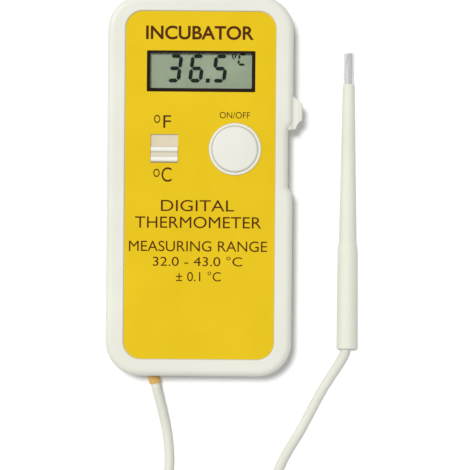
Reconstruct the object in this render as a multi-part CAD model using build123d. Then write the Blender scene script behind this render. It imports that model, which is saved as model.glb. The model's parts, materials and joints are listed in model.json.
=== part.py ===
from build123d import *
import math
import os

# Hand-held incubator thermometer with a wired probe.
# Millimetres. The case lies on its back: +Z out of its face, +Y towards the display end.
# The origin is the centre of the case's flat back.

os.makedirs("parts", exist_ok=True)

# ---- driving dimensions: case ----
CASE_WIDTH = 55.2
CASE_LENGTH = 112.4
CASE_HEIGHT = 19.0
CASE_CORNER = 10.3
FRONT_EDGE = 2.0
BACK_EDGE = 1.5
WALL = 2.0
SPLIT = 9.5
FRONT_INSET = 0.3
RIM_ROUNDING = 0.45
FRONT_WALL_INSIDE = 16.9

# ---- face label in its recess ----
RECESS_FLOOR = 18.1
LABEL_THICKNESS = 0.4
LABEL_WIDTH = 44.1
LABEL_LENGTH = 102.2
LABEL_CORNER = 5.0
LABEL_CENTRE = (0.0, 0.25)
LABEL_GAP = 0.1

# ---- display ----
DISPLAY_CENTRE = (0.12, 33.74)
DISPLAY_OPENING = (31.9, 12.1)
VIEW_CENTRE = (0.06, 33.93)
VIEW_OPENING = (29.95, 10.36)
WINDOW_SIZE = (33.0, 13.0)
GLASS_SIZE = (36.0, 16.6)
GLASS_THICKNESS = 0.8

# ---- circuit board ----
BOARD_BOTTOM = 9.6
BOARD_TOP = 11.2
BOARD_X = (-24.0, 20.4)
BOARD_Y = (-2.8, 44.6)
BOARD_SCREWS = ((-21.5, 20.5), (17.6, 20.5), (-21.5, 0.5), (17.6, 0.5))

# ---- on/off button ----
BUTTON_CENTRE = (10.25, 10.93)
COLLAR_RADIUS = 7.7
COLLAR_BORE = 6.82
COLLAR_TOP = 19.15
CAP_RADIUS = 6.76
CAP_TOP = 19.95
CAP_DOME = 0.3
BUTTON_TRAVEL = 1.4
SWITCH_BODY_TOP = 13.8

# ---- unit slider ----
SLIDER_CENTRE = (-10.54, 10.97)
SLIDER_OPENING = (8.1, 8.4)
SLIDER_TRAVEL = 3.2
KNOB_LENGTH = 4.7
KNOB_GAP = 0.2
KNOB_WIDTH = 7.9
KNOB_TOP = 19.35
RIDGE_RADIUS = 0.9

# ---- battery ----
CELL_RADIUS = 5.25
CELL_Y = (-48.5, -4.0)
CELL_X = 4.8
CELL_Z = 7.2
TRAY_HALF_WIDTH = 5.6
TRAY_Y = (-53.4, -3.6)
TRAY_WALL = 1.2
DOOR_X = (CELL_X - 8.5, CELL_X + 8.5)
DOOR_Z = (0.2, 1.0)

# ---- probe rest on the right flank ----
GROOVE_X = 26.0
GROOVE_RADIUS = 3.4
GROOVE_WALL = 1.6
GROOVE_Y = (-49.5, 41.0)
NOTCH_DEPTH = 1.4
CLIP_Y = (16.7, 26.5)
CLIP_REACH = 2.4
CLIP_Z = (1.9, 18.0)
CLIP_BORE = 2.0
CLIP_VALLEY_X = 27.75
CLIP_VALLEY_RADIUS = 1.6
CLIP_VALLEY_DEPTH = 0.45

# ---- probe ----
PROBE_X = 43.95
HANDLE_Y = (-48.0, -16.75)
HANDLE_RADII = (3.05, 2.9)
SHOULDER_LENGTH = 2.2
SHAFT_RADII = (2.52, 1.7)
SHAFT_END = 30.85
TIP_END = 40.2
TIP_RADIUS = 1.5
FLOOR_GAP = 0.03

# ---- cable ----
CABLE_RADIUS = 1.4
CABLE_REST = 1.45
COIL_CENTRE = (3.0, -110.0)
COIL_RADIUS = 15.4
COIL_COLUMNS = 3
COIL_LAYERS = 3
COIL_FOOT = 0.5
TIE_THICKNESS = 0.45
TIE_WIDTH = 4.0

# Route of the cable from the gland on the case, down to the surface and into the coil.
CASE_ROUTE = [
    (-12.9, -58.3, 5.55),
    (-12.1, -61.8, 4.9),
    (-10.75, -66.6, 3.4),
    (-9.45, -72.4, 1.9),
    (-8.6, -78.6, CABLE_REST),
    (-8.6, -85.4, CABLE_REST),
    (-10.7, -92.6, CABLE_REST),
    (-13.6, -99.6, 1.6),
    (-15.2, -107.0, 1.9),
    (-15.2, -112.0, 1.9),
]

# Route of the cable from the probe's handle, down to the surface and into the coil.
PROBE_ROUTE = [
    (PROBE_X, -44.0, 3.75),
    (PROBE_X, -48.0, 3.1),
    (42.2, -51.6, 2.5),
    (39.5, -55.8, 1.85),
    (36.4, -60.8, CABLE_REST),
    (33.3, -66.8, CABLE_REST),
    (30.3, -72.7, CABLE_REST),
    (26.8, -78.2, CABLE_REST),
    (23.6, -84.6, CABLE_REST),
    (21.6, -91.6, CABLE_REST),
    (20.9, -98.8, 1.6),
    (21.2, -106.0, 1.9),
    (21.1, -111.0, 1.9),
]


def prism(width, length, radius, low, high, centre=(0.0, 0.0)):
    """Upright prism with rounded corners between two heights."""
    outline = Pos(centre[0], centre[1], low) * RectangleRounded(width, length, radius)
    return extrude(outline, high - low)


def block(x_span, y_span, z_span):
    """Box between three pairs of limits."""
    middle = [(low + high) / 2 for low, high in (x_span, y_span, z_span)]
    size = [high - low for low, high in (x_span, y_span, z_span)]
    return Pos(*middle) * Box(*size)


def disc(radius, low, high, centre=(0.0, 0.0)):
    """Upright cylinder between two heights."""
    return Pos(centre[0], centre[1], (low + high) / 2) * Cylinder(radius, high - low)


def rod(radius, y_span, x, z, end_radius=None):
    """Cylinder or cone along Y, its first radius at the low end."""
    length = y_span[1] - y_span[0]
    place = Pos(x, (y_span[0] + y_span[1]) / 2, z) * Rot(X=-90)
    if end_radius is None:
        return place * Cylinder(radius, length)
    return place * Cone(radius, end_radius, length)


def top_edges(solid):
    """Edges of the highest flat face."""
    return solid.faces().sort_by(Axis.Z)[-1].edges()


def bottom_edges(solid):
    """Edges of the lowest flat face."""
    return solid.faces().sort_by(Axis.Z)[0].edges()


def save(name, shape):
    """Write one sub-part."""
    export_step(shape, f"parts/{name}.step")


# ---------------------------------------------------------------- case body
def case_outline(inset):
    """Plan of the case, drawn in by an inset, with the finger notch in its right side."""
    side = CASE_WIDTH / 2 - inset
    notch_floor = side - NOTCH_DEPTH
    notch = make_face(
        Polyline(
            (side + 1.0, -3.4),
            (side, -2.1),
            (notch_floor, -0.1),
            (notch_floor, 16.6),
            (side, 18.8),
            (side + 1.0, 20.1),
            close=True,
        )
    )
    plan = Sketch() + RectangleRounded(2 * side, CASE_LENGTH - 2 * inset, CASE_CORNER - inset)
    plan = plan - notch
    corners = plan.vertices().filter_by_position(Axis.Y, -5, 20)
    outer = corners.filter_by_position(Axis.X, side - 0.01, side + 0.01)
    return fillet(outer, 3.0)


def case_block(inset):
    """Whole outside of the case, closed, before it is hollowed and split."""
    body = extrude(case_outline(inset), CASE_HEIGHT)
    body = fillet(top_edges(body), FRONT_EDGE)
    body = fillet(bottom_edges(body), BACK_EDGE)
    return body


def probe_groove(radius, y_span):
    """U-shaped space round the stored probe, open to the right."""
    channel = rod(radius, y_span, GROOVE_X, SPLIT)
    mouth = block((GROOVE_X, GROOVE_X + 8), y_span, (SPLIT - radius, SPLIT + radius))
    return channel + mouth


def clip_tab():
    """Tab that springs over the probe's shaft, as one block with its throat cut."""
    side = CASE_WIDTH / 2
    reach = side + CLIP_REACH
    plan = make_face(
        Polyline(
            (GROOVE_X - 3.2, CLIP_Y[1]),
            (side - 0.2, CLIP_Y[1]),
            (side + 1.05, CLIP_Y[1] - 1.35),
            (reach, CLIP_Y[1] - 2.05),
            (reach, CLIP_Y[0] + 2.9),
            (side + 0.95, CLIP_Y[0] + 1.75),
            (side + 0.5, CLIP_Y[0] + 0.4),
            (GROOVE_X + 0.3, CLIP_Y[0]),
            (GROOVE_X - 3.2, CLIP_Y[0]),
            close=True,
        )
    )
    tab = extrude(Pos(0, 0, CLIP_Z[0]) * plan, CLIP_Z[1] - CLIP_Z[0])
    outer = tab.edges().filter_by(Plane.XY).filter_by_position(Axis.X, GROOVE_X + 0.8, reach + 1)
    tab = fillet(outer, 0.4)
    valley_z = CLIP_Z[1] + CLIP_VALLEY_RADIUS - CLIP_VALLEY_DEPTH
    tab -= rod(CLIP_VALLEY_RADIUS, (CLIP_Y[0] - 2, CLIP_Y[1] + 2), CLIP_VALLEY_X, valley_z)
    throat = make_face(
        Polyline(
            (GROOVE_X, 1.65),
            (GROOVE_X + 2.0, 1.65),
            (reach + 0.2, 3.6),
            (reach + 0.2, -3.6),
            (GROOVE_X + 2.0, -1.65),
            (GROOVE_X, -1.65),
            close=True,
        )
    )
    middle = (CLIP_Y[0] + CLIP_Y[1]) / 2
    long = CLIP_Y[1] - CLIP_Y[0] + 4
    lead_in = extrude(Plane((0, middle + long / 2, SPLIT), x_dir=(1, 0, 0), z_dir=(0, -1, 0)) * throat, long)
    bore = rod(CLIP_BORE, (CLIP_Y[0] - 2, CLIP_Y[1] + 2), GROOVE_X, SPLIT)
    return tab - lead_in - bore


def cavity():
    """Hollow of the case, kept clear of the groove and of the notch."""
    hollow = prism(
        CASE_WIDTH - 2 * WALL, CASE_LENGTH - 2 * WALL, CASE_CORNER - WALL, WALL, FRONT_WALL_INSIDE
    )
    groove_back = rod(
        GROOVE_RADIUS + GROOVE_WALL,
        (GROOVE_Y[0] - GROOVE_WALL, GROOVE_Y[1] + GROOVE_WALL),
        GROOVE_X,
        SPLIT,
    )
    notch_back = block((24.2, 30.0), (-4.0, 20.5), (0.0, CASE_HEIGHT))
    return hollow - groove_back - notch_back


def case_shell(inset):
    """Hollow case, still in one piece, with groove and clip."""
    shell = case_block(inset) - cavity()
    shell -= probe_groove(GROOVE_RADIUS, (GROOVE_Y[0], CLIP_Y[0]))
    shell -= probe_groove(GROOVE_RADIUS, (CLIP_Y[1], GROOVE_Y[1]))
    throat_room = block((GROOVE_X - GROOVE_RADIUS, 40.0), CLIP_Y, (SPLIT - 2.4, SPLIT + 2.4))
    shell = shell - throat_room + clip_tab()
    return shell


CASE_SCREWS = [(x, y) for x in (-18.4, 18.4) for y in (-48.5, 48.5)]


def slab(low, high):
    """Everything round the case between two heights."""
    return block((-200.0, 200.0), (-200.0, 200.0), (low, high))


def front_cover():
    """Upper half with the label recess, the openings and the button's collar."""
    cover = case_shell(FRONT_INSET) & slab(SPLIT, 40.0)
    recess = prism(
        LABEL_WIDTH + 2 * LABEL_GAP,
        LABEL_LENGTH + 2 * LABEL_GAP,
        LABEL_CORNER + LABEL_GAP,
        RECESS_FLOOR,
        CASE_HEIGHT + 1,
        LABEL_CENTRE,
    )
    cover -= recess
    rim = cover.faces().filter_by(Plane.XY).sort_by(Axis.Z)[-1]
    cover = fillet(rim.inner_wires()[0].edges(), RIM_ROUNDING)
    collar = disc(COLLAR_RADIUS, FRONT_WALL_INSIDE, COLLAR_TOP, BUTTON_CENTRE)
    collar -= disc(COLLAR_BORE, FRONT_WALL_INSIDE - 1, COLLAR_TOP + 1, BUTTON_CENTRE)
    collar = fillet(top_edges(collar), 0.25)
    cover -= disc(COLLAR_BORE, 16.0, 20.0, BUTTON_CENTRE)
    cover += collar
    cover -= prism(*DISPLAY_OPENING, 0.3, 16.0, 19.0, DISPLAY_CENTRE)
    cover -= prism(*SLIDER_OPENING, 0.25, 16.0, 19.0, SLIDER_CENTRE)
    for centre in CASE_SCREWS:
        cover += disc(3.2, SPLIT, FRONT_WALL_INSIDE, centre)
        cover -= disc(1.32, SPLIT, 15.2, centre)
    for centre in BOARD_SCREWS:
        cover += disc(1.9, BOARD_TOP, FRONT_WALL_INSIDE, centre)
        cover -= disc(0.92, BOARD_TOP, 15.4, centre)
    return cover


def rear_cover():
    """Lower half, a ledge wider all round, with screw bosses, battery tray and door recess."""
    cover = case_shell(0.0) & slab(-5.0, SPLIT)
    for centre in CASE_SCREWS:
        cover += disc(3.4, WALL, SPLIT, centre)
        cover -= disc(1.45, -1, SPLIT + 1, centre)
        cover -= disc(2.9, -1, 4.0, centre)
    tray_x = (CELL_X - TRAY_HALF_WIDTH, CELL_X + TRAY_HALF_WIDTH)
    outer_x = (tray_x[0] - TRAY_WALL, tray_x[1] + TRAY_WALL)
    tray = block(outer_x, (TRAY_Y[0] - TRAY_WALL, TRAY_Y[1] + TRAY_WALL), (0.8, SPLIT - 0.1))
    cover += tray & prism(CASE_WIDTH - 1, CASE_LENGTH - 1, CASE_CORNER, 0, SPLIT)
    cover -= block(tray_x, TRAY_Y, (-1, SPLIT + 1))
    cover -= block((DOOR_X[0] - 0.15, DOOR_X[1] + 0.15), (-60, -2.4), (-1, DOOR_Z[1] + 0.1))
    cover -= block((tray_x[0] - 0.8, tray_x[1] + 0.8), (-53.0, -5.0), (1.25, 1.95))
    cover -= rod(2.22, (-58, -52), GLAND_X, GLAND_Z)
    return cover


def battery_door():
    """Sliding door on the back: plate, stiffening pad, four hooking tabs and a thumb grip."""
    plate = block(DOOR_X, (-CASE_LENGTH / 2, -2.6), DOOR_Z)
    inset = prism(CASE_WIDTH, CASE_LENGTH, CASE_CORNER, 0.0, CASE_HEIGHT)
    plate &= fillet(bottom_edges(inset), BACK_EDGE)
    pad = block((CELL_X - 5.4, CELL_X + 5.4), (-45.0, -4.4), (DOOR_Z[1], 1.8))
    door = plate + pad
    for y in (-43.0, -15.0):
        door += block((CELL_X - 6.2, CELL_X + 6.2), (y, y + 5.0), (1.35, 1.8))
    for row in range(5):
        y = -49.5 + 1.7 * row
        door -= block((CELL_X - 4.0, CELL_X + 4.0), (y, y + 0.8), (DOOR_Z[0] - 0.2, DOOR_Z[0] + 0.3))
    return door


# ---------------------------------------------------------------- display stack
def face_label():
    """Thin printed label with its three openings."""
    top = RECESS_FLOOR + LABEL_THICKNESS
    label = prism(LABEL_WIDTH, LABEL_LENGTH, LABEL_CORNER, RECESS_FLOOR, top, LABEL_CENTRE)
    label -= prism(*DISPLAY_OPENING, 0.3, RECESS_FLOOR - 1, top + 1, DISPLAY_CENTRE)
    label -= prism(*SLIDER_OPENING, 0.25, RECESS_FLOOR - 1, top + 1, SLIDER_CENTRE)
    label -= disc(COLLAR_RADIUS + 0.05, RECESS_FLOOR - 1, top + 1, BUTTON_CENTRE)
    return label


FRAME_FOOT = 16.1
WINDOW_TOP = 17.2
GLASS_TOP = FRAME_FOOT


def display_frame():
    """Black frame that lines the opening and holds the window from below."""
    sleeve_size = (DISPLAY_OPENING[0] - 0.16, DISPLAY_OPENING[1] - 0.16)
    frame = prism(*sleeve_size, 0.3, 16.6, RECESS_FLOOR + 0.15, DISPLAY_CENTRE)
    frame += prism(37.4, 17.4, 0.8, FRAME_FOOT, FRONT_WALL_INSIDE, DISPLAY_CENTRE)
    frame -= prism(*VIEW_OPENING, 0.3, FRAME_FOOT - 1, 20, VIEW_CENTRE)
    frame -= prism(WINDOW_SIZE[0] - 2.1, WINDOW_SIZE[1] - 1.9, 0.2, FRAME_FOOT - 1, WINDOW_TOP, VIEW_CENTRE)
    return frame


def display_window():
    """Clear window that sits in the frame's rebate."""
    size = (WINDOW_SIZE[0] - 2.2, WINDOW_SIZE[1] - 2.0)
    return prism(*size, 0.2, GLASS_TOP, WINDOW_TOP, VIEW_CENTRE)


def display_glass(size_y, high, thickness):
    """One sheet of the display's glass, hung below the given height."""
    return prism(GLASS_SIZE[0], size_y, 0.2, high - thickness, high, VIEW_CENTRE)


REAR_GLASS_TOP = GLASS_TOP - GLASS_THICKNESS
REFLECTOR_TOP = REAR_GLASS_TOP - GLASS_THICKNESS


def display_holder():
    """Plastic frame between the circuit board and the front cover, round the glass."""
    holder = prism(39.6, 20.2, 1.0, BOARD_TOP, GLASS_TOP, VIEW_CENTRE)
    holder -= prism(GLASS_SIZE[0] + 0.2, GLASS_SIZE[1] + 0.2, 0.3, BOARD_TOP - 1, GLASS_TOP + 1, VIEW_CENTRE)
    return holder


def contact_strips():
    """Two rubber strips that join the front glass's ledges to the board."""
    strips = Part()
    for side in (-1, 1):
        y = VIEW_CENTRE[1] + side * (GLASS_SIZE[1] / 2 - 1.0)
        strips += block((-16.0, 16.0), (y - 0.8, y + 0.8), (BOARD_TOP, REAR_GLASS_TOP))
    return strips


# ---------------------------------------------------------------- board
def circuit_board():
    """Board with its four screw holes."""
    board = block(BOARD_X, BOARD_Y, (BOARD_BOTTOM, BOARD_TOP))
    board -= block((14.2, 30.0), (40.0, 50.0), (5.0, 15.0))
    board -= block((-30.0, -17.0), (43.6, 50.0), (5.0, 15.0))
    for centre in BOARD_SCREWS:
        board -= disc(1.1, 5.0, 15.0, centre)
    return board


def screw(head_radius, head_low, head_high, shank_radius, tip, centre):
    """Pan-head screw that points up, with a cross recess in its head."""
    head = fillet(bottom_edges(disc(head_radius, head_low, head_high, centre)), head_radius * 0.25)
    body = head + disc(shank_radius, head_high, tip, centre)
    arm = head_radius * 0.62
    for size in ((2 * arm, 0.45), (0.45, 2 * arm)):
        body -= Pos(centre[0], centre[1], head_low) * Box(*size, 1.2)
    return body


def screws(centres, *sizes):
    """One node of identical screws."""
    return Compound(children=[screw(*sizes, centre) for centre in centres])


def epoxy_drop():
    """Rounded drop over the processor, on the board's underside."""
    drop = Pos(-4.0, 33.0, BOARD_BOTTOM) * Sphere(9.0)
    keep = block((-20, 20), (20, 44), (BOARD_BOTTOM - 1.4, BOARD_BOTTOM))
    return Pos(0, 0, 7.6) * drop & keep


def chips(size, centres):
    """Identical surface-mounted parts on the board's underside."""
    half_x, half_y, height = size[0] / 2, size[1] / 2, size[2]
    span_z = (BOARD_BOTTOM - height, BOARD_BOTTOM)
    solids = [
        block((x - half_x, x + half_x), (y - half_y, y + half_y), span_z) for x, y in centres
    ]
    return Compound(children=solids)


def crystal():
    """Small metal crystal can, lying on the board."""
    can = block((-18.0, -11.0), (9.0, 11.2), (BOARD_BOTTOM - 2.2, BOARD_BOTTOM))
    return fillet(can.edges().filter_by(Axis.X), 0.9)


def trimmer():
    """Calibration trimmer: square body with a slotted rotor."""
    body = block((0.0, 4.6), (18.0, 22.6), (BOARD_BOTTOM - 2.4, BOARD_BOTTOM))
    body += disc(1.6, BOARD_BOTTOM - 2.9, BOARD_BOTTOM - 2.4, (2.3, 20.3))
    return body - block((1.0, 3.6), (20.0, 20.6), (BOARD_BOTTOM - 3.0, BOARD_BOTTOM - 2.6))


# ---------------------------------------------------------------- button and slider
def power_button():
    """Domed cap with a retaining flange and a socket for the plunger."""
    rim_z = CAP_TOP - CAP_DOME
    crown = ThreePointArc(
        (-CAP_RADIUS, rim_z), (0, CAP_TOP), (CAP_RADIUS, rim_z)
    )
    foot = Polyline((CAP_RADIUS, rim_z), (CAP_RADIUS, 15.5), (-CAP_RADIUS, 15.5), (-CAP_RADIUS, rim_z))
    section = make_face(crown + foot)
    section = fillet(section.vertices().group_by(Axis.Y)[-1], 0.75)
    half = Plane.XZ * (section & Pos(CAP_RADIUS, 15.5) * Rectangle(2 * CAP_RADIUS, 20.0))
    cap = Pos(*BUTTON_CENTRE) * revolve(half, Axis.Z)
    cap += disc(CAP_RADIUS + 1.0, 15.5, FRONT_WALL_INSIDE - 0.1, BUTTON_CENTRE)
    cap -= disc(CAP_RADIUS - 1.2, 15.0, 18.4, BUTTON_CENTRE) - disc(2.8, 14.0, 19.0, BUTTON_CENTRE)
    x, y = BUTTON_CENTRE
    cap -= block((x - 1.62, x + 1.62), (y - 1.62, y + 1.62), (15.0, 17.1))
    return cap


def power_switch_plunger():
    """Square plunger between the cap and the switch."""
    x, y = BUTTON_CENTRE
    return block((x - 1.6, x + 1.6), (y - 1.6, y + 1.6), (13.15, 17.1))


def power_switch_body():
    """Switch housing with its square socket and four terminals."""
    x, y = BUTTON_CENTRE
    body = block((x - 4.25, x + 4.25), (y - 4.25, y + 4.25), (BOARD_TOP, SWITCH_BODY_TOP))
    body -= block((x - 1.75, x + 1.75), (y - 1.75, y + 1.75), (11.6, 15.0))
    for side in (-1, 1):
        for row in (-1, 1):
            edge = x + side * 4.25
            span = (min(edge, edge + side * 1.2), max(edge, edge + side * 1.2))
            body += block(span, (y + row * 2.2 - 0.4, y + row * 2.2 + 0.4), (BOARD_TOP, 11.6))
    return body


KNOB_LOW_Y = SLIDER_CENTRE[1] - SLIDER_OPENING[1] / 2 + KNOB_GAP
KNOB_Y = (KNOB_LOW_Y, KNOB_LOW_Y + KNOB_LENGTH)


def unit_slider():
    """Slide plate under the front wall with a two-ridged knob through the opening."""
    x = SLIDER_CENTRE[0]
    plate_y = (SLIDER_CENTRE[1] - 7.8, SLIDER_CENTRE[1] + 4.6)
    plate = block((x - 5.8, x + 5.8), plate_y, (15.9, FRONT_WALL_INSIDE - 0.1))
    knob_x = (x - KNOB_WIDTH / 2, x + KNOB_WIDTH / 2)
    knob = block(knob_x, KNOB_Y, (16.5, 18.35))
    ridge_z = KNOB_TOP - RIDGE_RADIUS
    for y in (KNOB_Y[0] + RIDGE_RADIUS, KNOB_Y[1] - RIDGE_RADIUS):
        ridge = Pos(x, y, ridge_z) * Rot(Y=90) * Cylinder(RIDGE_RADIUS, KNOB_WIDTH)
        knob += ridge + block(knob_x, (y - RIDGE_RADIUS, y + RIDGE_RADIUS), (17.0, ridge_z))
    socket_y = sum(KNOB_Y) / 2
    slider = plate + knob
    return slider - block((x - 0.8, x + 0.8), (socket_y - 0.8, socket_y + 0.8), (15.0, 16.5))


def unit_switch_actuator():
    """Square stem that carries the slider's motion into the switch."""
    x, y = SLIDER_CENTRE[0], sum(KNOB_Y) / 2
    return block((x - 0.75, x + 0.75), (y - 0.75, y + 0.75), (13.2, 16.45))


def unit_switch_body():
    """Slide-switch housing with the slot that the stem runs in."""
    x, y = SLIDER_CENTRE[0], sum(KNOB_Y) / 2
    body = block((x - 2.3, x + 2.3), (y - 3.2, y + SLIDER_TRAVEL + 3.2), (BOARD_TOP, 14.8))
    body -= block((x - 0.95, x + 0.95), (y - 1.0, y + SLIDER_TRAVEL + 1.0), (13.0, 16.0))
    for row in range(3):
        pin_y = y - 0.4 + row * SLIDER_TRAVEL / 2
        body += block((x + 2.3, x + 3.4), (pin_y, pin_y + 0.8), (BOARD_TOP, 11.6))
    return body


# ---------------------------------------------------------------- battery
def battery_cell():
    """Single cell with a raised positive end."""
    body = rod(CELL_RADIUS, (CELL_Y[0], CELL_Y[1] - 1.0), CELL_X, CELL_Z)
    body = fillet(body.edges().filter_by(GeomType.CIRCLE), 0.5)
    return body + rod(1.8, (CELL_Y[1] - 1.0, CELL_Y[1]), CELL_X, CELL_Z)


def contact_plate(y_low):
    """Flat battery contact with a solder tag at its top."""
    plate = block((CELL_X - 3.6, CELL_X + 3.6), (y_low, y_low + 0.4), (3.0, 10.6))
    return plate + block((CELL_X - 1.0, CELL_X + 1.0), (y_low, y_low + 0.4), (10.6, 11.8))


# ---------------------------------------------------------------- cable
GLAND_X = -13.2
GLAND_Z = 6.0
GLAND_WALL_Y = -CASE_LENGTH / 2
NOSE_LENGTH = 2.6


def cord_path(label, points):
    """Straight runs joined by the largest tangent arcs that the runs allow."""
    corners = [Vector(*point) for point in points]
    radii = []
    for before, corner, after in zip(corners, corners[1:], corners[2:]):
        turn = math.radians((corner - before).get_angle(after - corner))
        shorter = min((corner - before).length, (after - corner).length)
        radii.append(0.45 * shorter / math.tan(turn / 2))
    print(label, "radii", [round(radius, 1) for radius in radii])
    return FilletPolyline(*corners, radius=radii)


def tube(label, points, radius):
    """Round tube along a route, with its length and volume printed."""
    path = cord_path(label, points)
    section = Plane(origin=path @ 0, z_dir=path % 0) * Circle(radius)
    solid = sweep(section, path=path)
    expected = math.pi * radius**2 * path.length
    print(label, "length", round(path.length, 1), "volume ratio", round(solid.volume / expected, 4))
    return solid


def battery_spring():
    """Conical spring between the negative contact and the cell."""
    wire = 0.3
    turns = 3.25
    steps_per_turn = 10
    steps = int(turns * steps_per_turn)
    low = TRAY_Y[0] + 0.4 + wire + 0.05
    high = CELL_Y[0] - wire - 0.05
    route = []
    for step in range(steps + 1):
        share = step / steps
        radius = 3.6 - 1.5 * share
        angle = 2 * math.pi * step / steps_per_turn
        route.append(
            (CELL_X + radius * math.cos(angle), low + (high - low) * share, CELL_Z + radius * math.sin(angle))
        )
    return tube("battery spring", route, wire)


def cable_gland():
    """Flanged plug in the bottom wall with a short nose turned the cable's way."""
    plug = rod(2.15, (GLAND_WALL_Y - 0.2, GLAND_WALL_Y + WALL), GLAND_X, GLAND_Z)
    plug += rod(3.0, (GLAND_WALL_Y + WALL, GLAND_WALL_Y + WALL + 1.0), GLAND_X, GLAND_Z)
    nose_end = Vector(*CASE_ROUTE[0])
    along = (Vector(*CASE_ROUTE[1]) - nose_end).normalized()
    place = Plane(origin=nose_end - along * NOSE_LENGTH / 2, z_dir=along)
    return plug + place * Cone(1.95, 1.7, NOSE_LENGTH)


def cable_inner_end():
    """Sheath of the cable inside the case."""
    return rod(CABLE_RADIUS, (GLAND_WALL_Y + WALL + 1.0, -47.0), GLAND_X, GLAND_Z)


def sensor_leads():
    """Two wires from the cable's end to the board."""
    wires = []
    for side in (-1, 1):
        route = [
            (GLAND_X + side * 0.65, -47.0, GLAND_Z),
            (GLAND_X + side * 0.8 - 0.6, -34.0, GLAND_Z + 0.2),
            (GLAND_X + side * 1.6 - 0.8, -14.0, GLAND_Z + 0.4),
            (GLAND_X + side * 1.7 - 0.4, -1.0, GLAND_Z + 0.9),
            (GLAND_X + side * 1.8 - 0.2, 1.2, BOARD_BOTTOM - 0.3),
        ]
        wires.append(tube(f"sensor lead {side}", route, 0.5))
    return Compound(children=wires)


def battery_leads():
    """Wire from the negative contact and a short bridge from the positive one."""
    negative = [
        (CELL_X - 4.2, TRAY_Y[0] + 0.2, 10.2),
        (CELL_X - 7.2, TRAY_Y[0] + 1.4, 10.2),
        (CELL_X - 8.6, TRAY_Y[0] + 5.0, 8.6),
        (CELL_X - 8.8, -20.0, 7.6),
        (CELL_X - 8.6, -4.0, 7.8),
        (CELL_X - 8.4, -0.4, BOARD_BOTTOM - 0.3),
    ]
    bridge = rod(0.45, (TRAY_Y[1], BOARD_Y[0] + 1.4), CELL_X, BOARD_TOP + 0.46)
    return Compound(children=[tube("negative lead", negative, 0.45), bridge])


COIL_WIDTH = COIL_COLUMNS * 2 * CABLE_RADIUS
COIL_TOP = COIL_FOOT + COIL_LAYERS * 2 * CABLE_RADIUS


def cable_coil():
    """Outer shape of the put-away coil."""
    x, y = COIL_CENTRE
    ring = disc(COIL_RADIUS + COIL_WIDTH / 2, COIL_FOOT, COIL_TOP, (x, y))
    ring -= disc(COIL_RADIUS - COIL_WIDTH / 2, COIL_FOOT - 1, COIL_TOP + 1, (x, y))
    return fillet(ring.edges().filter_by(GeomType.CIRCLE), CABLE_RADIUS)


def cable_tie():
    """Flat band round the coil, standing on the surface."""
    x, y = COIL_CENTRE
    gap = 0.05
    middle_y = y - COIL_RADIUS
    half = COIL_WIDTH / 2 + gap
    bulge = COIL_RADIUS + COIL_WIDTH / 2 - math.sqrt(
        (COIL_RADIUS + COIL_WIDTH / 2) ** 2 - (TIE_WIDTH / 2) ** 2
    )
    inner_y = (middle_y - half, middle_y + half + 3 * bulge)
    outer_y = (inner_y[0] - TIE_THICKNESS, inner_y[1] + TIE_THICKNESS)
    half_x = TIE_WIDTH / 2
    outer = block((x - half_x, x + half_x), outer_y, (0.0, COIL_TOP + gap + TIE_THICKNESS))
    outer = fillet(outer.edges().filter_by(Axis.X), 0.9)
    inner = block((x - half_x - 1, x + half_x + 1), inner_y, (TIE_THICKNESS, COIL_TOP + gap))
    return outer - inner


# ---------------------------------------------------------------- probe
SHOULDER_Y = HANDLE_Y[1] - SHOULDER_LENGTH
PROBE_SLOPE = (HANDLE_RADII[1] - TIP_RADIUS) / (TIP_END - SHOULDER_Y)
PROBE_LEVEL = HANDLE_RADII[1] + FLOOR_GAP + SHOULDER_Y * PROBE_SLOPE


def laid_down(shape):
    """Places a piece made round the Y axis so that shoulder and tip both lie on the surface."""
    return Pos(PROBE_X, 0, PROBE_LEVEL) * Rot(X=-math.degrees(math.atan(PROBE_SLOPE))) * shape


SPIGOT_LENGTH = 6.0
BORE_RADIUS = 1.0
LEAD_START_Y = -44.0
TIP_SPIGOT_RADIUS = 1.15
TIP_WALL = 0.25


def probe_handle():
    """Tapered grip with a shoulder, an open cable bore and a lead bore."""
    end_radius, front_radius = HANDLE_RADII
    grip = rod(end_radius, (HANDLE_Y[0], SHOULDER_Y), 0, 0, front_radius)
    grip = fillet(grip.edges().filter_by(GeomType.CIRCLE).sort_by(Axis.Y)[0], 0.5)
    neck = rod(front_radius, (SHOULDER_Y, HANDLE_Y[1]), 0, 0, front_radius - 0.22)
    handle = grip + neck
    handle -= rod(2.15, (HANDLE_Y[0] - 1, LEAD_START_Y), 0, 0)
    handle -= rod(BORE_RADIUS, (LEAD_START_Y, HANDLE_Y[1] + 1), 0, 0)
    handle -= rod(1.9, (HANDLE_Y[1] - SPIGOT_LENGTH, HANDLE_Y[1] + 1), 0, 0)
    return laid_down(handle)


def probe_shaft():
    """Tapered stem with a spigot into the handle and a seat for the tip."""
    stem = rod(SHAFT_RADII[0], (HANDLE_Y[1], SHAFT_END), 0, 0, SHAFT_RADII[1])
    stem += rod(1.88, (HANDLE_Y[1] - SPIGOT_LENGTH + 0.1, HANDLE_Y[1]), 0, 0)
    stem -= rod(BORE_RADIUS, (HANDLE_Y[1] - SPIGOT_LENGTH - 1, SHAFT_END), 0, 0)
    stem -= rod(TIP_SPIGOT_RADIUS, (SHAFT_END - SPIGOT_LENGTH, SHAFT_END + 1), 0, 0)
    return laid_down(stem)


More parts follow.
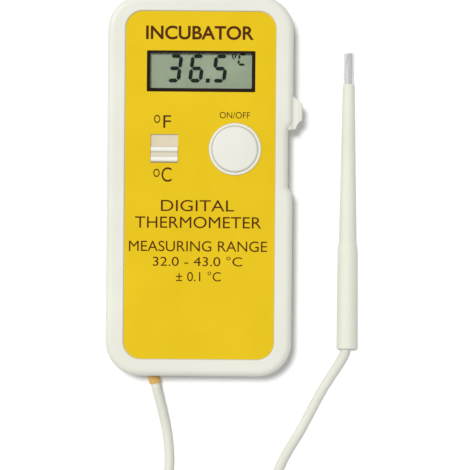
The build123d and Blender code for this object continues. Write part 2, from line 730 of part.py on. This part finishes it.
def probe_tip():
    """Thin steel tube, closed at its far end and necked where it sits in the shaft."""
    tip = rod(TIP_RADIUS, (SHAFT_END, TIP_END), 0, 0)
    tip = fillet(tip.edges().filter_by(GeomType.CIRCLE).sort_by(Axis.Y)[-1], 0.35)
    tip += rod(TIP_SPIGOT_RADIUS, (SHAFT_END - SPIGOT_LENGTH, SHAFT_END), 0, 0)
    tip -= rod(TIP_SPIGOT_RADIUS - TIP_WALL, (SHAFT_END - SPIGOT_LENGTH - 1, TIP_END - 3.5), 0, 0)
    tip -= rod(TIP_RADIUS - TIP_WALL, (SHAFT_END + 0.4, TIP_END - 0.4), 0, 0)
    return laid_down(tip)


def thermistor_bead():
    """Small glass bead near the tip's closed end."""
    return laid_down(Pos(0, TIP_END - 2.0, 0) * Sphere(0.85))


def thermistor_leads():
    """Two fine wires from the cable's end to the bead."""
    span = (LEAD_START_Y, TIP_END - 2.95)
    wires = [laid_down(rod(0.2, span, side * 0.35, 0)) for side in (-1, 1)]
    return Compound(children=wires)


# ---------------------------------------------------------------- assembly
capacitor_sites = [(-14.0, 22.5), (-9.0, 26.0), (9.5, 26.5), (14.0, 31.0)]
resistor_sites = [(-14.0 + 4.5 * column, 3.0 + 3.2 * row) for column in range(3) for row in range(2)]

nodes = {
    "front_cover": front_cover(),
    "rear_cover": rear_cover(),
    "battery_door": battery_door(),
    "face_label": face_label(),
    "display_frame": display_frame(),
    "display_window": display_window(),
    "display_front_glass": display_glass(GLASS_SIZE[1], GLASS_TOP, GLASS_THICKNESS),
    "display_rear_glass": display_glass(GLASS_SIZE[1] - 4.4, REAR_GLASS_TOP, GLASS_THICKNESS),
    "display_reflector": display_glass(GLASS_SIZE[1] - 4.8, REFLECTOR_TOP, 0.2),
    "display_holder": display_holder(),
    "contact_strips": contact_strips(),
    "circuit_board": circuit_board(),
    "epoxy_drop": epoxy_drop(),
    "chip_capacitors": chips((2.0, 1.25, 1.1), capacitor_sites),
    "chip_resistors": chips((2.0, 1.25, 0.5), resistor_sites),
    "crystal": crystal(),
    "trimmer": trimmer(),
    "board_screws": screws(BOARD_SCREWS, 1.9, 8.2, BOARD_BOTTOM, 0.9, 15.2),
    "case_screws": screws(CASE_SCREWS, 2.6, 2.3, 4.0, 1.3, 15.0),
    "power_button": power_button(),
    "power_switch_plunger": power_switch_plunger(),
    "power_switch_body": power_switch_body(),
    "unit_slider": unit_slider(),
    "unit_switch_actuator": unit_switch_actuator(),
    "unit_switch_body": unit_switch_body(),
    "battery_cell": battery_cell(),
    "battery_contact_positive": contact_plate(TRAY_Y[1] - 0.4),
    "battery_contact_negative": contact_plate(TRAY_Y[0]),
    "battery_spring": battery_spring(),
    "battery_leads": battery_leads(),
    "cable_gland": cable_gland(),
    "cable_inner_end": cable_inner_end(),
    "sensor_leads": sensor_leads(),
    "cable_case_run": tube("case run", CASE_ROUTE, CABLE_RADIUS),
    "cable_coil": cable_coil(),
    "cable_tie": cable_tie(),
    "cable_probe_run": tube("probe run", PROBE_ROUTE, CABLE_RADIUS),
    "probe_handle": probe_handle(),
    "probe_shaft": probe_shaft(),
    "probe_tip": probe_tip(),
    "thermistor_bead": thermistor_bead(),
    "thermistor_leads": thermistor_leads(),
}

for name, shape in nodes.items():
    save(name, shape)
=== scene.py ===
"""Looks of a hand-held incubator thermometer with a wired probe, built round its CAD frame."""

import json
import math

import bmesh
import bpy
import numpy as np
from mathutils import Matrix, Vector


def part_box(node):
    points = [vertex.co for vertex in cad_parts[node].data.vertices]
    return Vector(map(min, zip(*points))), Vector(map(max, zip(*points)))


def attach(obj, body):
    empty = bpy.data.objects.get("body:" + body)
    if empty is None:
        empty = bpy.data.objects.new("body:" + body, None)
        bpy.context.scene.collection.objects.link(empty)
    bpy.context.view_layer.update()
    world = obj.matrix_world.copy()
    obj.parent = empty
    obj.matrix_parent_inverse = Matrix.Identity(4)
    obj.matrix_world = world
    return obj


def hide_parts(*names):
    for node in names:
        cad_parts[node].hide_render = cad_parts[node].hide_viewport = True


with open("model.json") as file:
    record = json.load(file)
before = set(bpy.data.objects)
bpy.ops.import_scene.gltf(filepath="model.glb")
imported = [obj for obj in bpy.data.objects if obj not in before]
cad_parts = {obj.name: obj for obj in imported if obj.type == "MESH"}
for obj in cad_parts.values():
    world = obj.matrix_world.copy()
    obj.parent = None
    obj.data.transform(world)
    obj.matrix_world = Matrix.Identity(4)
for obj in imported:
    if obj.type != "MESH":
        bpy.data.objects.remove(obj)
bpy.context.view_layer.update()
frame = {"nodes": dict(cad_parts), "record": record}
MM = 0.001
scene = bpy.context.scene
scene.view_settings.view_transform = "Standard"


# ------------------------------------------------------------------ places read from the frame
def top(node):
    """Height of a CAD node's highest point."""
    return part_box(node)[1].z


LABEL_TOP = top("face_label")


# ------------------------------------------------------------------ camera
VIEW_WIDTH = 138.65 * MM
VIEW_CENTRE = Vector((10.46, -14.3, 14.0)) * MM
CAMERA_HEIGHT = 1.2
CAMERA_ROLL = math.radians(0.46)


def add_camera():
    """Long lens straight above the object."""
    data = bpy.data.cameras.new("camera")
    data.sensor_width = 36.0
    data.lens = data.sensor_width * CAMERA_HEIGHT / VIEW_WIDTH
    data.clip_end = 10.0
    camera = bpy.data.objects.new("camera", data)
    camera.location = VIEW_CENTRE + Vector((0, 0, CAMERA_HEIGHT))
    camera.rotation_euler = (0, 0, CAMERA_ROLL)
    scene.collection.objects.link(camera)
    scene.camera = camera


add_camera()


# ------------------------------------------------------------------ cable
CABLE_DIAMETER = 2.8 * MM
CABLE_REST = 1.45
CABLE_SIDES = 14
CABLE_RIPPLE = 0.02
CABLE_LAY = 8.0 * MM

CASE_ROUTE = [
    (-12.9, -58.3, 5.55),
    (-12.1, -61.8, 4.9),
    (-10.75, -66.6, 3.4),
    (-9.45, -72.4, 1.9),
    (-8.6, -78.6, CABLE_REST),
    (-8.6, -85.4, CABLE_REST),
    (-10.7, -92.6, CABLE_REST),
    (-13.6, -99.6, 1.6),
    (-15.2, -107.0, 1.9),
]

PROBE_ROUTE = [
    (43.95, -44.0, 3.75),
    (43.95, -48.0, 3.1),
    (42.2, -51.6, 2.5),
    (39.5, -55.8, 1.85),
    (36.4, -60.8, CABLE_REST),
    (33.3, -66.8, CABLE_REST),
    (30.3, -72.7, CABLE_REST),
    (26.8, -78.2, CABLE_REST),
    (23.6, -84.6, CABLE_REST),
    (21.7, -91.6, 1.6),
    (21.1, -98.6, 2.6),
    (21.2, -104.6, 4.2),
]

COIL_CENTRE = (3.0, -110.0)
COIL_RADIUS = 15.4
TURN_STEPS = 18


# Seats of the turns in winding order, as (column outward, layer upward).
COIL_SEATS = [(2, 0), (1, 0), (0, 0), (0, 1), (1, 1), (0, 2), (1, 2), (2, 2), (2, 1)]


def coil_route():
    """Turns of the put-away length, each laid a cable's width from its neighbours."""
    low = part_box("cable_coil")[0].z / MM + CABLE_DIAMETER / MM / 2
    pitch = CABLE_DIAMETER / MM
    seats = [(COIL_RADIUS + pitch * (column - 1), low + pitch * layer) for column, layer in COIL_SEATS]
    total = len(seats) * TURN_STEPS - TURN_STEPS // 2
    points = []
    for step in range(total + 1):
        angle = math.pi + 2 * math.pi * step / TURN_STEPS
        place = step / TURN_STEPS
        index = min(int(place), len(seats) - 2)
        share = max(0.0, min(1.0, (place - index - 0.7) / 0.3))
        radius = seats[index][0] * (1 - share) + seats[index + 1][0] * share
        height = seats[index][1] * (1 - share) + seats[index + 1][1] * share
        points.append(
            (
                COIL_CENTRE[0] + radius * math.cos(angle),
                COIL_CENTRE[1] + radius * math.sin(angle),
                height,
            )
        )
    return points


def route_line(points):
    """Points along the smooth line of a route, from its NURBS spline."""
    curve = bpy.data.curves.new("cable_line", "CURVE")
    curve.dimensions = "3D"
    spline = curve.splines.new("NURBS")
    spline.points.add(len(points) - 1)
    for knot, point in zip(spline.points, points):
        knot.co = (*(Vector(point) * MM), 1.0)
    spline.order_u = 3
    spline.use_endpoint_u = True
    spline.resolution_u = 6
    holder = bpy.data.objects.new("cable_line", curve)
    scene.collection.objects.link(holder)
    graph = bpy.context.evaluated_depsgraph_get()
    line = bpy.data.meshes.new_from_object(holder.evaluated_get(graph))
    places = [vertex.co.copy() for vertex in line.vertices]
    bpy.data.objects.remove(holder)
    return places


def cable_mesh(line):
    """Sheath round the line: a faintly oval section that turns with the twisted pair inside it."""
    rings = []
    side = Vector((1, 0, 0))
    travelled = 0.0
    for index, place in enumerate(line):
        ahead = line[min(index + 1, len(line) - 1)]
        behind = line[max(index - 1, 0)]
        along = (ahead - behind).normalized()
        side = (side - along * side.dot(along)).normalized()
        across = along.cross(side)
        travelled += (place - behind).length
        ring = []
        for step in range(CABLE_SIDES):
            angle = 2 * math.pi * step / CABLE_SIDES
            swell = CABLE_RIPPLE * math.cos(2 * (angle - 2 * math.pi * travelled / CABLE_LAY))
            reach = CABLE_DIAMETER / 2 * (1 - CABLE_RIPPLE + swell)
            ring.append(place + reach * (side * math.cos(angle) + across * math.sin(angle)))
        rings.append(ring)
    corners = [corner for ring in rings for corner in ring]
    faces = []
    for row in range(len(rings) - 1):
        for step in range(CABLE_SIDES):
            near, far = row * CABLE_SIDES, (row + 1) * CABLE_SIDES
            turn = (step + 1) % CABLE_SIDES
            faces.append((near + step, near + turn, far + turn, far + step))
    last = (len(rings) - 1) * CABLE_SIDES
    faces.append(tuple(reversed(range(CABLE_SIDES))))
    faces.append(tuple(range(last, last + CABLE_SIDES)))
    mesh = bpy.data.meshes.new("cable")
    mesh.from_pydata(corners, [], faces)
    mesh.shade_smooth()
    return mesh


def add_cable():
    """One free cable from the gland, through the coil, to the probe's handle."""
    line = route_line(CASE_ROUTE + coil_route() + list(reversed(PROBE_ROUTE)))
    cable = bpy.data.objects.new("cable", cable_mesh(line))
    scene.collection.objects.link(cable)
    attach(cable, "case")
    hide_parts("cable_case_run", "cable_coil", "cable_probe_run")
    return cable


cable = add_cable()


# ------------------------------------------------------------------ materials
def shader(name, color, roughness, **sockets):
    """Principled material with its constants on the shader's own sockets."""
    material = bpy.data.materials.new(name)
    material.use_nodes = True
    material.diffuse_color = (*color, 1.0)
    bsdf = material.node_tree.nodes["Principled BSDF"]
    bsdf.inputs["Base Color"].default_value = (*color, 1.0)
    bsdf.inputs["Roughness"].default_value = roughness
    for key, value in sockets.items():
        bsdf.inputs[key.replace("_", " ")].default_value = value
    return material, bsdf


def noise(tree, scale, detail=3.0, stretch=(1.0, 1.0, 1.0)):
    """Noise in the object's own coordinates, with features about 1/scale metres wide."""
    place = tree.nodes.new("ShaderNodeTexCoord")
    mapping = tree.nodes.new("ShaderNodeMapping")
    mapping.inputs["Scale"].default_value = stretch
    texture = tree.nodes.new("ShaderNodeTexNoise")
    texture.inputs["Scale"].default_value = scale
    texture.inputs["Detail"].default_value = detail
    tree.links.new(place.outputs["Object"], mapping.inputs["Vector"])
    tree.links.new(mapping.outputs["Vector"], texture.inputs["Vector"])
    return texture.outputs["Fac"]


def spread(tree, source, low, high):
    """Maps a 0.3 to 0.7 noise value onto a range."""
    node = tree.nodes.new("ShaderNodeMapRange")
    node.inputs["From Min"].default_value = 0.3
    node.inputs["From Max"].default_value = 0.7
    node.inputs["To Min"].default_value = low
    node.inputs["To Max"].default_value = high
    tree.links.new(source, node.inputs["Value"])
    return node.outputs["Result"]


def tint(tree, bsdf, source, dark, light):
    """Base colour that drifts between two shades."""
    ramp = tree.nodes.new("ShaderNodeValToRGB")
    ramp.color_ramp.elements[0].position = 0.3
    ramp.color_ramp.elements[1].position = 0.7
    ramp.color_ramp.elements[0].color = (*dark, 1.0)
    ramp.color_ramp.elements[1].color = (*light, 1.0)
    tree.links.new(source, ramp.inputs["Fac"])
    tree.links.new(ramp.outputs["Color"], bsdf.inputs["Base Color"])


def bump(tree, bsdf, source, height, strength=1.0):
    """Surface relief of a given height in metres."""
    node = tree.nodes.new("ShaderNodeBump")
    node.inputs["Strength"].default_value = strength
    node.inputs["Distance"].default_value = height
    tree.links.new(source, node.inputs["Height"])
    earlier = bsdf.inputs["Normal"].links
    if earlier:
        tree.links.new(earlier[0].from_socket, node.inputs["Normal"])
    tree.links.new(node.outputs["Normal"], bsdf.inputs["Normal"])


def moulded(name, dark, light, roughness, grain=5200.0, relief=0.004, **sockets):
    """Moulded plastic: slow colour drift, fine spark-eroded grain, uneven sheen."""
    material, bsdf = shader(name, light, roughness, **sockets)
    tree = material.node_tree
    tint(tree, bsdf, noise(tree, 45.0, 4.0), dark, light)
    rough = spread(tree, noise(tree, 160.0, 5.0), roughness - 0.06, roughness + 0.06)
    tree.links.new(rough, bsdf.inputs["Roughness"])
    bump(tree, bsdf, noise(tree, grain, 2.0), relief * MM)
    bump(tree, bsdf, noise(tree, 90.0, 2.0), 0.03 * MM, 0.6)
    return material


def brushed(name, dark, light, roughness, stretch, metallic=1.0):
    """Metal with fine drawn lines along one axis."""
    material, bsdf = shader(name, light, roughness, Metallic=metallic)
    tree = material.node_tree
    lines = noise(tree, 2400.0, 4.0, stretch)
    tint(tree, bsdf, lines, dark, light)
    tree.links.new(spread(tree, lines, roughness - 0.1, roughness + 0.12), bsdf.inputs["Roughness"])
    bump(tree, bsdf, lines, 0.004 * MM)
    return material


def clear(name, color, alpha, roughness):
    """Clear sheet: faint tint and a slight haze of handling marks."""
    material, bsdf = shader(name, color, roughness, Alpha=alpha, IOR=1.49)
    tree = material.node_tree
    haze = spread(tree, noise(tree, 220.0, 5.0), roughness, roughness + 0.09)
    tree.links.new(haze, bsdf.inputs["Roughness"])
    bump(tree, bsdf, noise(tree, 120.0, 2.0), 0.01 * MM, 0.5)
    return material


WELL_HEIGHT = 17.2 * MM


def slider_plastic():
    """The button's plastic in a lighter copy, with painted shade by height: darker and warmer between the
    ridges and down in its well, so the ridge tops stand out as painted highlights.
    """
    material = moulded("slider_abs", KNOB_DARK, KNOB_LIGHT, 0.36, relief=0.003)
    tree = material.node_tree
    bsdf = tree.nodes["Principled BSDF"]
    plain = bsdf.inputs["Base Color"].links[0].from_socket
    place = tree.nodes.new("ShaderNodeTexCoord")
    split = tree.nodes.new("ShaderNodeSeparateXYZ")
    share = tree.nodes.new("ShaderNodeMapRange")
    share.inputs["From Min"].default_value = WELL_HEIGHT
    share.inputs["From Max"].default_value = top("unit_slider")
    # Painted shade: a ramp by height that darkens and warms the plastic from the ridge tops down into the
    # well.
    painted_shade = tree.nodes.new("ShaderNodeValToRGB")
    painted_shade.color_ramp.elements[0].color = (0.82, 0.742, 0.608, 1.0)
    painted_shade.color_ramp.elements[1].color = (1.0, 1.0, 1.0, 1.0)
    painted_shade.color_ramp.elements.new(0.62).color = (0.80, 0.75, 0.66, 1.0)
    both = tree.nodes.new("ShaderNodeMix")
    both.data_type = "RGBA"
    both.blend_type = "MULTIPLY"
    both.inputs["Factor"].default_value = 1.0
    tree.links.new(place.outputs["Object"], split.inputs["Vector"])
    tree.links.new(split.outputs["Z"], share.inputs["Value"])
    tree.links.new(share.outputs["Result"], painted_shade.inputs["Fac"])
    tree.links.new(plain, both.inputs["A"])
    tree.links.new(painted_shade.outputs["Color"], both.inputs["B"])
    tree.links.new(both.outputs["Result"], bsdf.inputs["Base Color"])
    return material


def printed_film():
    """Yellow screen-printed film: fine matt grain and slightly uneven ink."""
    material, bsdf = shader("label_film", (0.61, 0.42, 0.009), 0.45, Specular_IOR_Level=0.15)
    tree = material.node_tree
    tint(tree, bsdf, noise(tree, 60.0, 5.0), (0.59, 0.405, 0.007), (0.63, 0.435, 0.011))
    tree.links.new(spread(tree, noise(tree, 300.0, 4.0), 0.36, 0.50), bsdf.inputs["Roughness"])
    bump(tree, bsdf, noise(tree, 7000.0, 2.0), 0.004 * MM)
    bump(tree, bsdf, noise(tree, 35.0, 1.0), 0.05 * MM, 0.5)
    return material


def ink(name, color):
    """Printed ink with small density changes."""
    material, bsdf = shader(name, color, 0.45, Specular_IOR_Level=0.1)
    tree = material.node_tree
    light = tuple(part * 1.35 + 0.001 for part in color)
    tint(tree, bsdf, noise(tree, 900.0, 4.0), color, light)
    bump(tree, bsdf, noise(tree, 6000.0, 2.0), 0.003 * MM)
    return material


def laminate():
    """Circuit board: green solder mask over faint copper tracks."""
    material, bsdf = shader("board_laminate", (0.02, 0.16, 0.06), 0.35)
    tree = material.node_tree
    place = tree.nodes.new("ShaderNodeTexCoord")
    tracks = tree.nodes.new("ShaderNodeTexBrick")
    tracks.inputs["Scale"].default_value = 260.0
    tracks.inputs["Mortar Size"].default_value = 0.03
    tracks.inputs["Color1"].default_value = (0.015, 0.13, 0.045, 1.0)
    tracks.inputs["Color2"].default_value = (0.02, 0.16, 0.06, 1.0)
    tracks.inputs["Mortar"].default_value = (0.05, 0.26, 0.09, 1.0)
    tree.links.new(place.outputs["Object"], tracks.inputs["Vector"])
    tree.links.new(tracks.outputs["Color"], bsdf.inputs["Base Color"])
    bump(tree, bsdf, tracks.outputs["Fac"], 0.03 * MM)
    return material


def reflector_film():
    """Grey-green diffusing film behind the liquid crystal."""
    material, bsdf = shader("display_film", (0.45, 0.54, 0.38), 0.55, Metallic=0.15)
    tree = material.node_tree
    tint(tree, bsdf, noise(tree, 130.0, 3.0), (0.43, 0.515, 0.36), (0.475, 0.57, 0.40))
    bump(tree, bsdf, noise(tree, 9000.0, 2.0), 0.003 * MM)
    return material


def jacket():
    """Plain two-tone jacket of the battery cell, with its seam."""
    material, bsdf = shader("cell_jacket", (0.03, 0.035, 0.045), 0.28, Metallic=0.5)
    tree = material.node_tree
    place = tree.nodes.new("ShaderNodeTexCoord")
    split = tree.nodes.new("ShaderNodeSeparateXYZ")
    tree.links.new(place.outputs["Object"], split.inputs["Vector"])
    ramp = tree.nodes.new("ShaderNodeValToRGB")
    ramp.color_ramp.interpolation = "CONSTANT"
    ramp.color_ramp.elements[0].color = (0.03, 0.035, 0.045, 1.0)
    ramp.color_ramp.elements[1].color = (0.42, 0.24, 0.09, 1.0)
    low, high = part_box("battery_cell")
    share = tree.nodes.new("ShaderNodeMapRange")
    share.inputs["From Min"].default_value = low.y
    share.inputs["From Max"].default_value = high.y
    ramp.color_ramp.elements[1].position = 0.76
    tree.links.new(split.outputs["Y"], share.inputs["Value"])
    tree.links.new(share.outputs["Result"], ramp.inputs["Fac"])
    tree.links.new(ramp.outputs["Color"], bsdf.inputs["Base Color"])
    bump(tree, bsdf, noise(tree, 700.0, 3.0), 0.01 * MM)
    return material


WHITE_DARK, WHITE_LIGHT = (0.600, 0.600, 0.530), (0.640, 0.640, 0.570)
BUTTON_DARK, BUTTON_LIGHT = (0.610, 0.610, 0.555), (0.645, 0.645, 0.590)
# The knob's shades are the button plastic made lighter: a painted highlight that makes its ridge tops read
# as lit.
KNOB_DARK, KNOB_LIGHT = (0.690, 0.680, 0.620), (0.730, 0.720, 0.660)
IVORY_DARK, IVORY_LIGHT = (0.610, 0.620, 0.530), (0.650, 0.660, 0.575)
CABLE_DARK, CABLE_LIGHT = (0.590, 0.585, 0.515), (0.640, 0.635, 0.565)
NEAR_BLACK = (0.012, 0.011, 0.012)
WARM_BLACK = (0.010, 0.005, 0.004)

MATERIALS = {
    "case_plastic": moulded("case_abs", WHITE_DARK, WHITE_LIGHT, 0.40),
    "button_plastic": moulded("button_abs", BUTTON_DARK, BUTTON_LIGHT, 0.36, relief=0.003),
    "probe_plastic": moulded("probe_abs", IVORY_DARK, IVORY_LIGHT, 0.42, relief=0.003),
    "cable_pvc": moulded("cable_sheath", CABLE_DARK, CABLE_LIGHT, 0.46, 3000.0, 0.006),
    "tie_nylon": moulded("tie_nylon", (0.55, 0.55, 0.53), (0.62, 0.62, 0.60), 0.5),
    "gland_rubber": moulded("gland_rubber", (0.54, 0.32, 0.085), (0.63, 0.40, 0.12), 0.5),
    "display_black": moulded("frame_black", WARM_BLACK, (0.016, 0.008, 0.007), 0.5, Specular_IOR_Level=0.12),
    "switch_plastic": moulded("switch_nylon", NEAR_BLACK, (0.03, 0.03, 0.03), 0.45),
    "component_black": moulded("epoxy_black", NEAR_BLACK, (0.02, 0.02, 0.02), 0.3),
    "contact_rubber": moulded("silicone_strip", (0.02, 0.02, 0.022), (0.06, 0.05, 0.05), 0.7),
    "component_tan": moulded("ceramic_tan", (0.26, 0.16, 0.08), (0.36, 0.23, 0.12), 0.5),
    "wire_insulation": moulded("wire_red", (0.30, 0.02, 0.015), (0.38, 0.03, 0.02), 0.4),
    "bead_glass": moulded("bead_glass", (0.04, 0.02, 0.012), (0.07, 0.03, 0.02), 0.2),
    "window_clear": clear("window_acrylic", (0.02, 0.03, 0.02), 0.06, 0.04),
    "display_glass": clear("cell_glass", (0.02, 0.04, 0.02), 0.08, 0.05),
    "label_print": printed_film(),
    "reflector": reflector_film(),
    "board": laminate(),
    "cell_jacket": jacket(),
    "plated_metal": brushed("nickel_plate", (0.50, 0.49, 0.46), (0.72, 0.71, 0.68), 0.3, (1, 1, 0.2)),
    "screw_steel": brushed("zinc_plate", (0.38, 0.39, 0.40), (0.58, 0.59, 0.60), 0.34, (1, 1, 1)),
    "probe_steel": brushed("stainless", (0.66, 0.68, 0.68), (0.86, 0.87, 0.87), 0.30, (1, 0.06, 1), 0.66),
}


def paint(obj, material):
    """Gives an object one material."""
    obj.data.materials.clear()
    obj.data.materials.append(material)


SLOT_OF = {row["node"]: row["material_slot"] for row in frame["record"]["subparts"]}
for node, obj in frame["nodes"].items():
    paint(obj, MATERIALS[SLOT_OF[node]])
# The clear sheets cast no shadow, so that light reaches the film behind all three of them.
for node in ("display_window", "display_front_glass", "display_rear_glass"):
    frame["nodes"][node].visible_shadow = False
paint(frame["nodes"]["unit_slider"], slider_plastic())
paint(cable, MATERIALS["cable_pvc"])


# ------------------------------------------------------------------ printing on the label
INK = ink("label_ink", (0.055, 0.015, 0.003))
INK_HEIGHT = 0.02 * MM


def lettering(name, text, centre, size, weight):
    """Printed words: their box is fitted to a width and height about a centre on the label."""
    font = bpy.data.curves.new(name, "FONT")
    font.body = text
    font.extrude = 0.5
    font.offset = weight
    holder = bpy.data.objects.new(name + "_source", font)
    scene.collection.objects.link(holder)
    graph = bpy.context.evaluated_depsgraph_get()
    mesh = bpy.data.meshes.new_from_object(holder.evaluated_get(graph))
    bpy.data.objects.remove(holder)
    points = np.empty(len(mesh.vertices) * 3)
    mesh.vertices.foreach_get("co", points)
    points = points.reshape(-1, 3)
    low, high = points.min(0), points.max(0)
    wide, tall = size
    points -= (low + high) / 2
    points *= (wide / (high[0] - low[0]), tall / (high[1] - low[1]), INK_HEIGHT / (high[2] - low[2]))
    points += (*centre, LABEL_TOP + INK_HEIGHT / 2)
    mesh.vertices.foreach_set("co", points.ravel())
    mesh.name = name
    words = bpy.data.objects.new(name, mesh)
    scene.collection.objects.link(words)
    paint(words, INK)
    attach(words, "case")
    return words


# Each line: name, words, centre (x, y), width and height in mm, and how far its strokes grow.
LINES = [
    ("print_title", "INCUBATOR", (-0.3, 45.06), (31.7, 4.1), 0.022),
    ("print_fahrenheit_ring", "O", (-12.69, 19.62), (1.85, 2.4), 0.010),
    ("print_fahrenheit", "F", (-9.75, 18.88), (2.26, 3.73), 0.0),
    ("print_celsius_ring", "O", (-12.76, 3.78), (1.88, 2.44), 0.010),
    ("print_celsius", "C", (-9.8, 3.31), (2.97, 4.26), 0.0),
    ("print_on_off", "ON/OFF", (10.12, 20.89), (8.9, 1.9), 0.0),
    ("print_line_1", "DIGITAL", (-0.63, -5.78), (21.5, 3.35), 0.0),
    ("print_line_2", "THERMOMETER", (-0.39, -10.70), (37.1, 3.4), 0.0),
    ("print_line_3", "MEASURING RANGE", (-0.39, -17.71), (40.6, 3.1), 0.0),
    ("print_line_4", "32.0 - 43.0 °C", (-0.5, -22.13), (26.3, 2.85), 0.0),
    ("print_line_5", "± 0.1 °C", (-0.2, -26.56), (13.2, 2.9), 0.0),
]
for name, words, centre, size, weight in LINES:
    lettering(name, words, Vector(centre) * MM, Vector(size) * MM, weight)


# ------------------------------------------------------------------ display segments
SEGMENT_INK = ink("segment_ink", (0.006, 0.010, 0.008))
SLANT = math.tan(math.radians(7.0))
DIGIT_WIDTH = 4.1
DIGIT_HEIGHT = 8.25
DIGIT_FOOT = 30.6
DIGITS = (("3", -10.3), ("6", -3.8), ("5", 3.1))
POINT_X = 1.4
POINT_SIDE = 1.15
STROKE = 1.05
SEGMENT_THICKNESS = 0.02
SEGMENT_GAP = 0.15
SEGMENTS = {"3": "abgcd", "6": "acdefg", "5": "afgcd", "C": "adef", "o": "abfg"}


def bar(start, end, stroke):
    """Outline of one segment: a bar with pointed ends between two corners of the digit."""
    start, end = Vector(start), Vector(end)
    along = (end - start).normalized()
    side = Vector((-along.y, along.x)) * stroke / 2
    near, far = start + along * SEGMENT_GAP, end - along * SEGMENT_GAP
    half = along * stroke / 2
    return [near, near + half + side, far - half + side, far, far - half - side, near + half - side]


def digit_outlines(character, corner, width, height, stroke):
    """Outlines of the lit segments of one character."""
    x, y = corner
    inset = stroke / 2
    left, right = x + inset, x + width - inset
    low, mid, high = y + inset, y + height / 2, y + height - inset
    ends = {
        "a": ((left, high), (right, high)),
        "b": ((right, mid), (right, high)),
        "c": ((right, low), (right, mid)),
        "d": ((left, low), (right, low)),
        "e": ((left, low), (left, mid)),
        "f": ((left, mid), (left, high)),
        "g": ((left, mid), (right, mid)),
    }
    return [bar(*ends[part], stroke) for part in SEGMENTS[character]]


def display_outlines():
    """Outlines of everything the display shows, upright, in mm."""
    outlines = []
    for character, x in DIGITS:
        outlines += digit_outlines(character, (x, DIGIT_FOOT), DIGIT_WIDTH, DIGIT_HEIGHT, STROKE)
    left, right = POINT_X, POINT_X + POINT_SIDE
    foot, head = DIGIT_FOOT, DIGIT_FOOT + POINT_SIDE
    point = [(left, foot), (right, foot), (right, head), (left, head)]
    outlines.append([Vector(corner) for corner in point])
    outlines += digit_outlines("C", (10.1, 35.7), 2.6, 3.5, 0.55)
    outlines += digit_outlines("o", (8.2, 36.0), 1.2, 3.4, 0.42)
    return outlines


def display_segments():
    """Lit segments as one thin mesh between the two sheets of glass."""
    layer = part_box("display_rear_glass")[1].z + 0.01 * MM
    mesh = bpy.data.meshes.new("display_segments")
    solid = bmesh.new()
    for outline in display_outlines():
        corners = [solid.verts.new((p.x + (p.y - DIGIT_FOOT) * SLANT, p.y, 0.0)) for p in outline]
        raised = bmesh.ops.extrude_face_region(solid, geom=[solid.faces.new(corners)])
        lifted = [item for item in raised["geom"] if isinstance(item, bmesh.types.BMVert)]
        bmesh.ops.translate(solid, verts=lifted, vec=(0, 0, SEGMENT_THICKNESS))
    bmesh.ops.recalc_face_normals(solid, faces=solid.faces)
    bmesh.ops.transform(
        solid, matrix=Matrix.Translation((0, 0, layer)) @ Matrix.Scale(MM, 4), verts=solid.verts
    )
    solid.to_mesh(mesh)
    solid.free()
    segments = bpy.data.objects.new("display_segments", mesh)
    scene.collection.objects.link(segments)
    paint(segments, SEGMENT_INK)
    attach(segments, "case")


display_segments()


# ------------------------------------------------------------------ floor and light
FLOOR_HALF = 3.0
FLOOR_WHITE = (0.79, 0.79, 0.79)
KEY_STRENGTH = 2.56
KEY_ANGLE = math.radians(7.0)
KEY_PLACE = (-0.09, 0.105, 1.0)
LEFT_BOX_PLACE = (-0.75, 0.45, 0.55)
LEFT_BOX_SIZE = 0.5
LEFT_BOX_POWER = 3.0
SURROUNDINGS = 0.41


def add_floor():
    """Plain white surface."""
    mesh = bpy.data.meshes.new("floor")
    half = FLOOR_HALF
    mesh.from_pydata(
        [(-half, -half, 0), (half, -half, 0), (half, half, 0), (-half, half, 0)], [], [(0, 1, 2, 3)]
    )
    floor = bpy.data.objects.new("floor", mesh)
    scene.collection.objects.link(floor)
    material, _ = shader("floor_white", FLOOR_WHITE, 0.9)
    paint(floor, material)


def aimed(name, data, place):
    """Light object at a place, aimed at the origin."""
    light = bpy.data.objects.new(name, data)
    light.location = place
    light.rotation_euler = (-Vector(place)).to_track_quat("-Z", "Y").to_euler()
    scene.collection.objects.link(light)
    return light


def add_key():
    """Broad overhead light, a little to the upper left, that gives the short shadow."""
    data = bpy.data.lights.new("key", "SUN")
    data.energy = KEY_STRENGTH
    data.angle = KEY_ANGLE
    key = aimed("key", data, KEY_PLACE)
    key.visible_glossy = False


def add_softbox():
    """Square softbox to the left that fills without a shadow of its own."""
    data = bpy.data.lights.new("left_box", "AREA")
    data.size = LEFT_BOX_SIZE
    data.energy = LEFT_BOX_POWER
    data.use_shadow = False
    aimed("left_box", data, LEFT_BOX_PLACE)


def add_world():
    """Even white surroundings."""
    world = bpy.data.worlds.new("surroundings")
    world.use_nodes = True
    background = world.node_tree.nodes["Background"]
    background.inputs["Color"].default_value = (1.0, 1.0, 1.0, 1.0)
    background.inputs["Strength"].default_value = SURROUNDINGS
    scene.world = world


add_floor()
add_key()
add_softbox()
add_world()

bpy.context.view_layer.update()
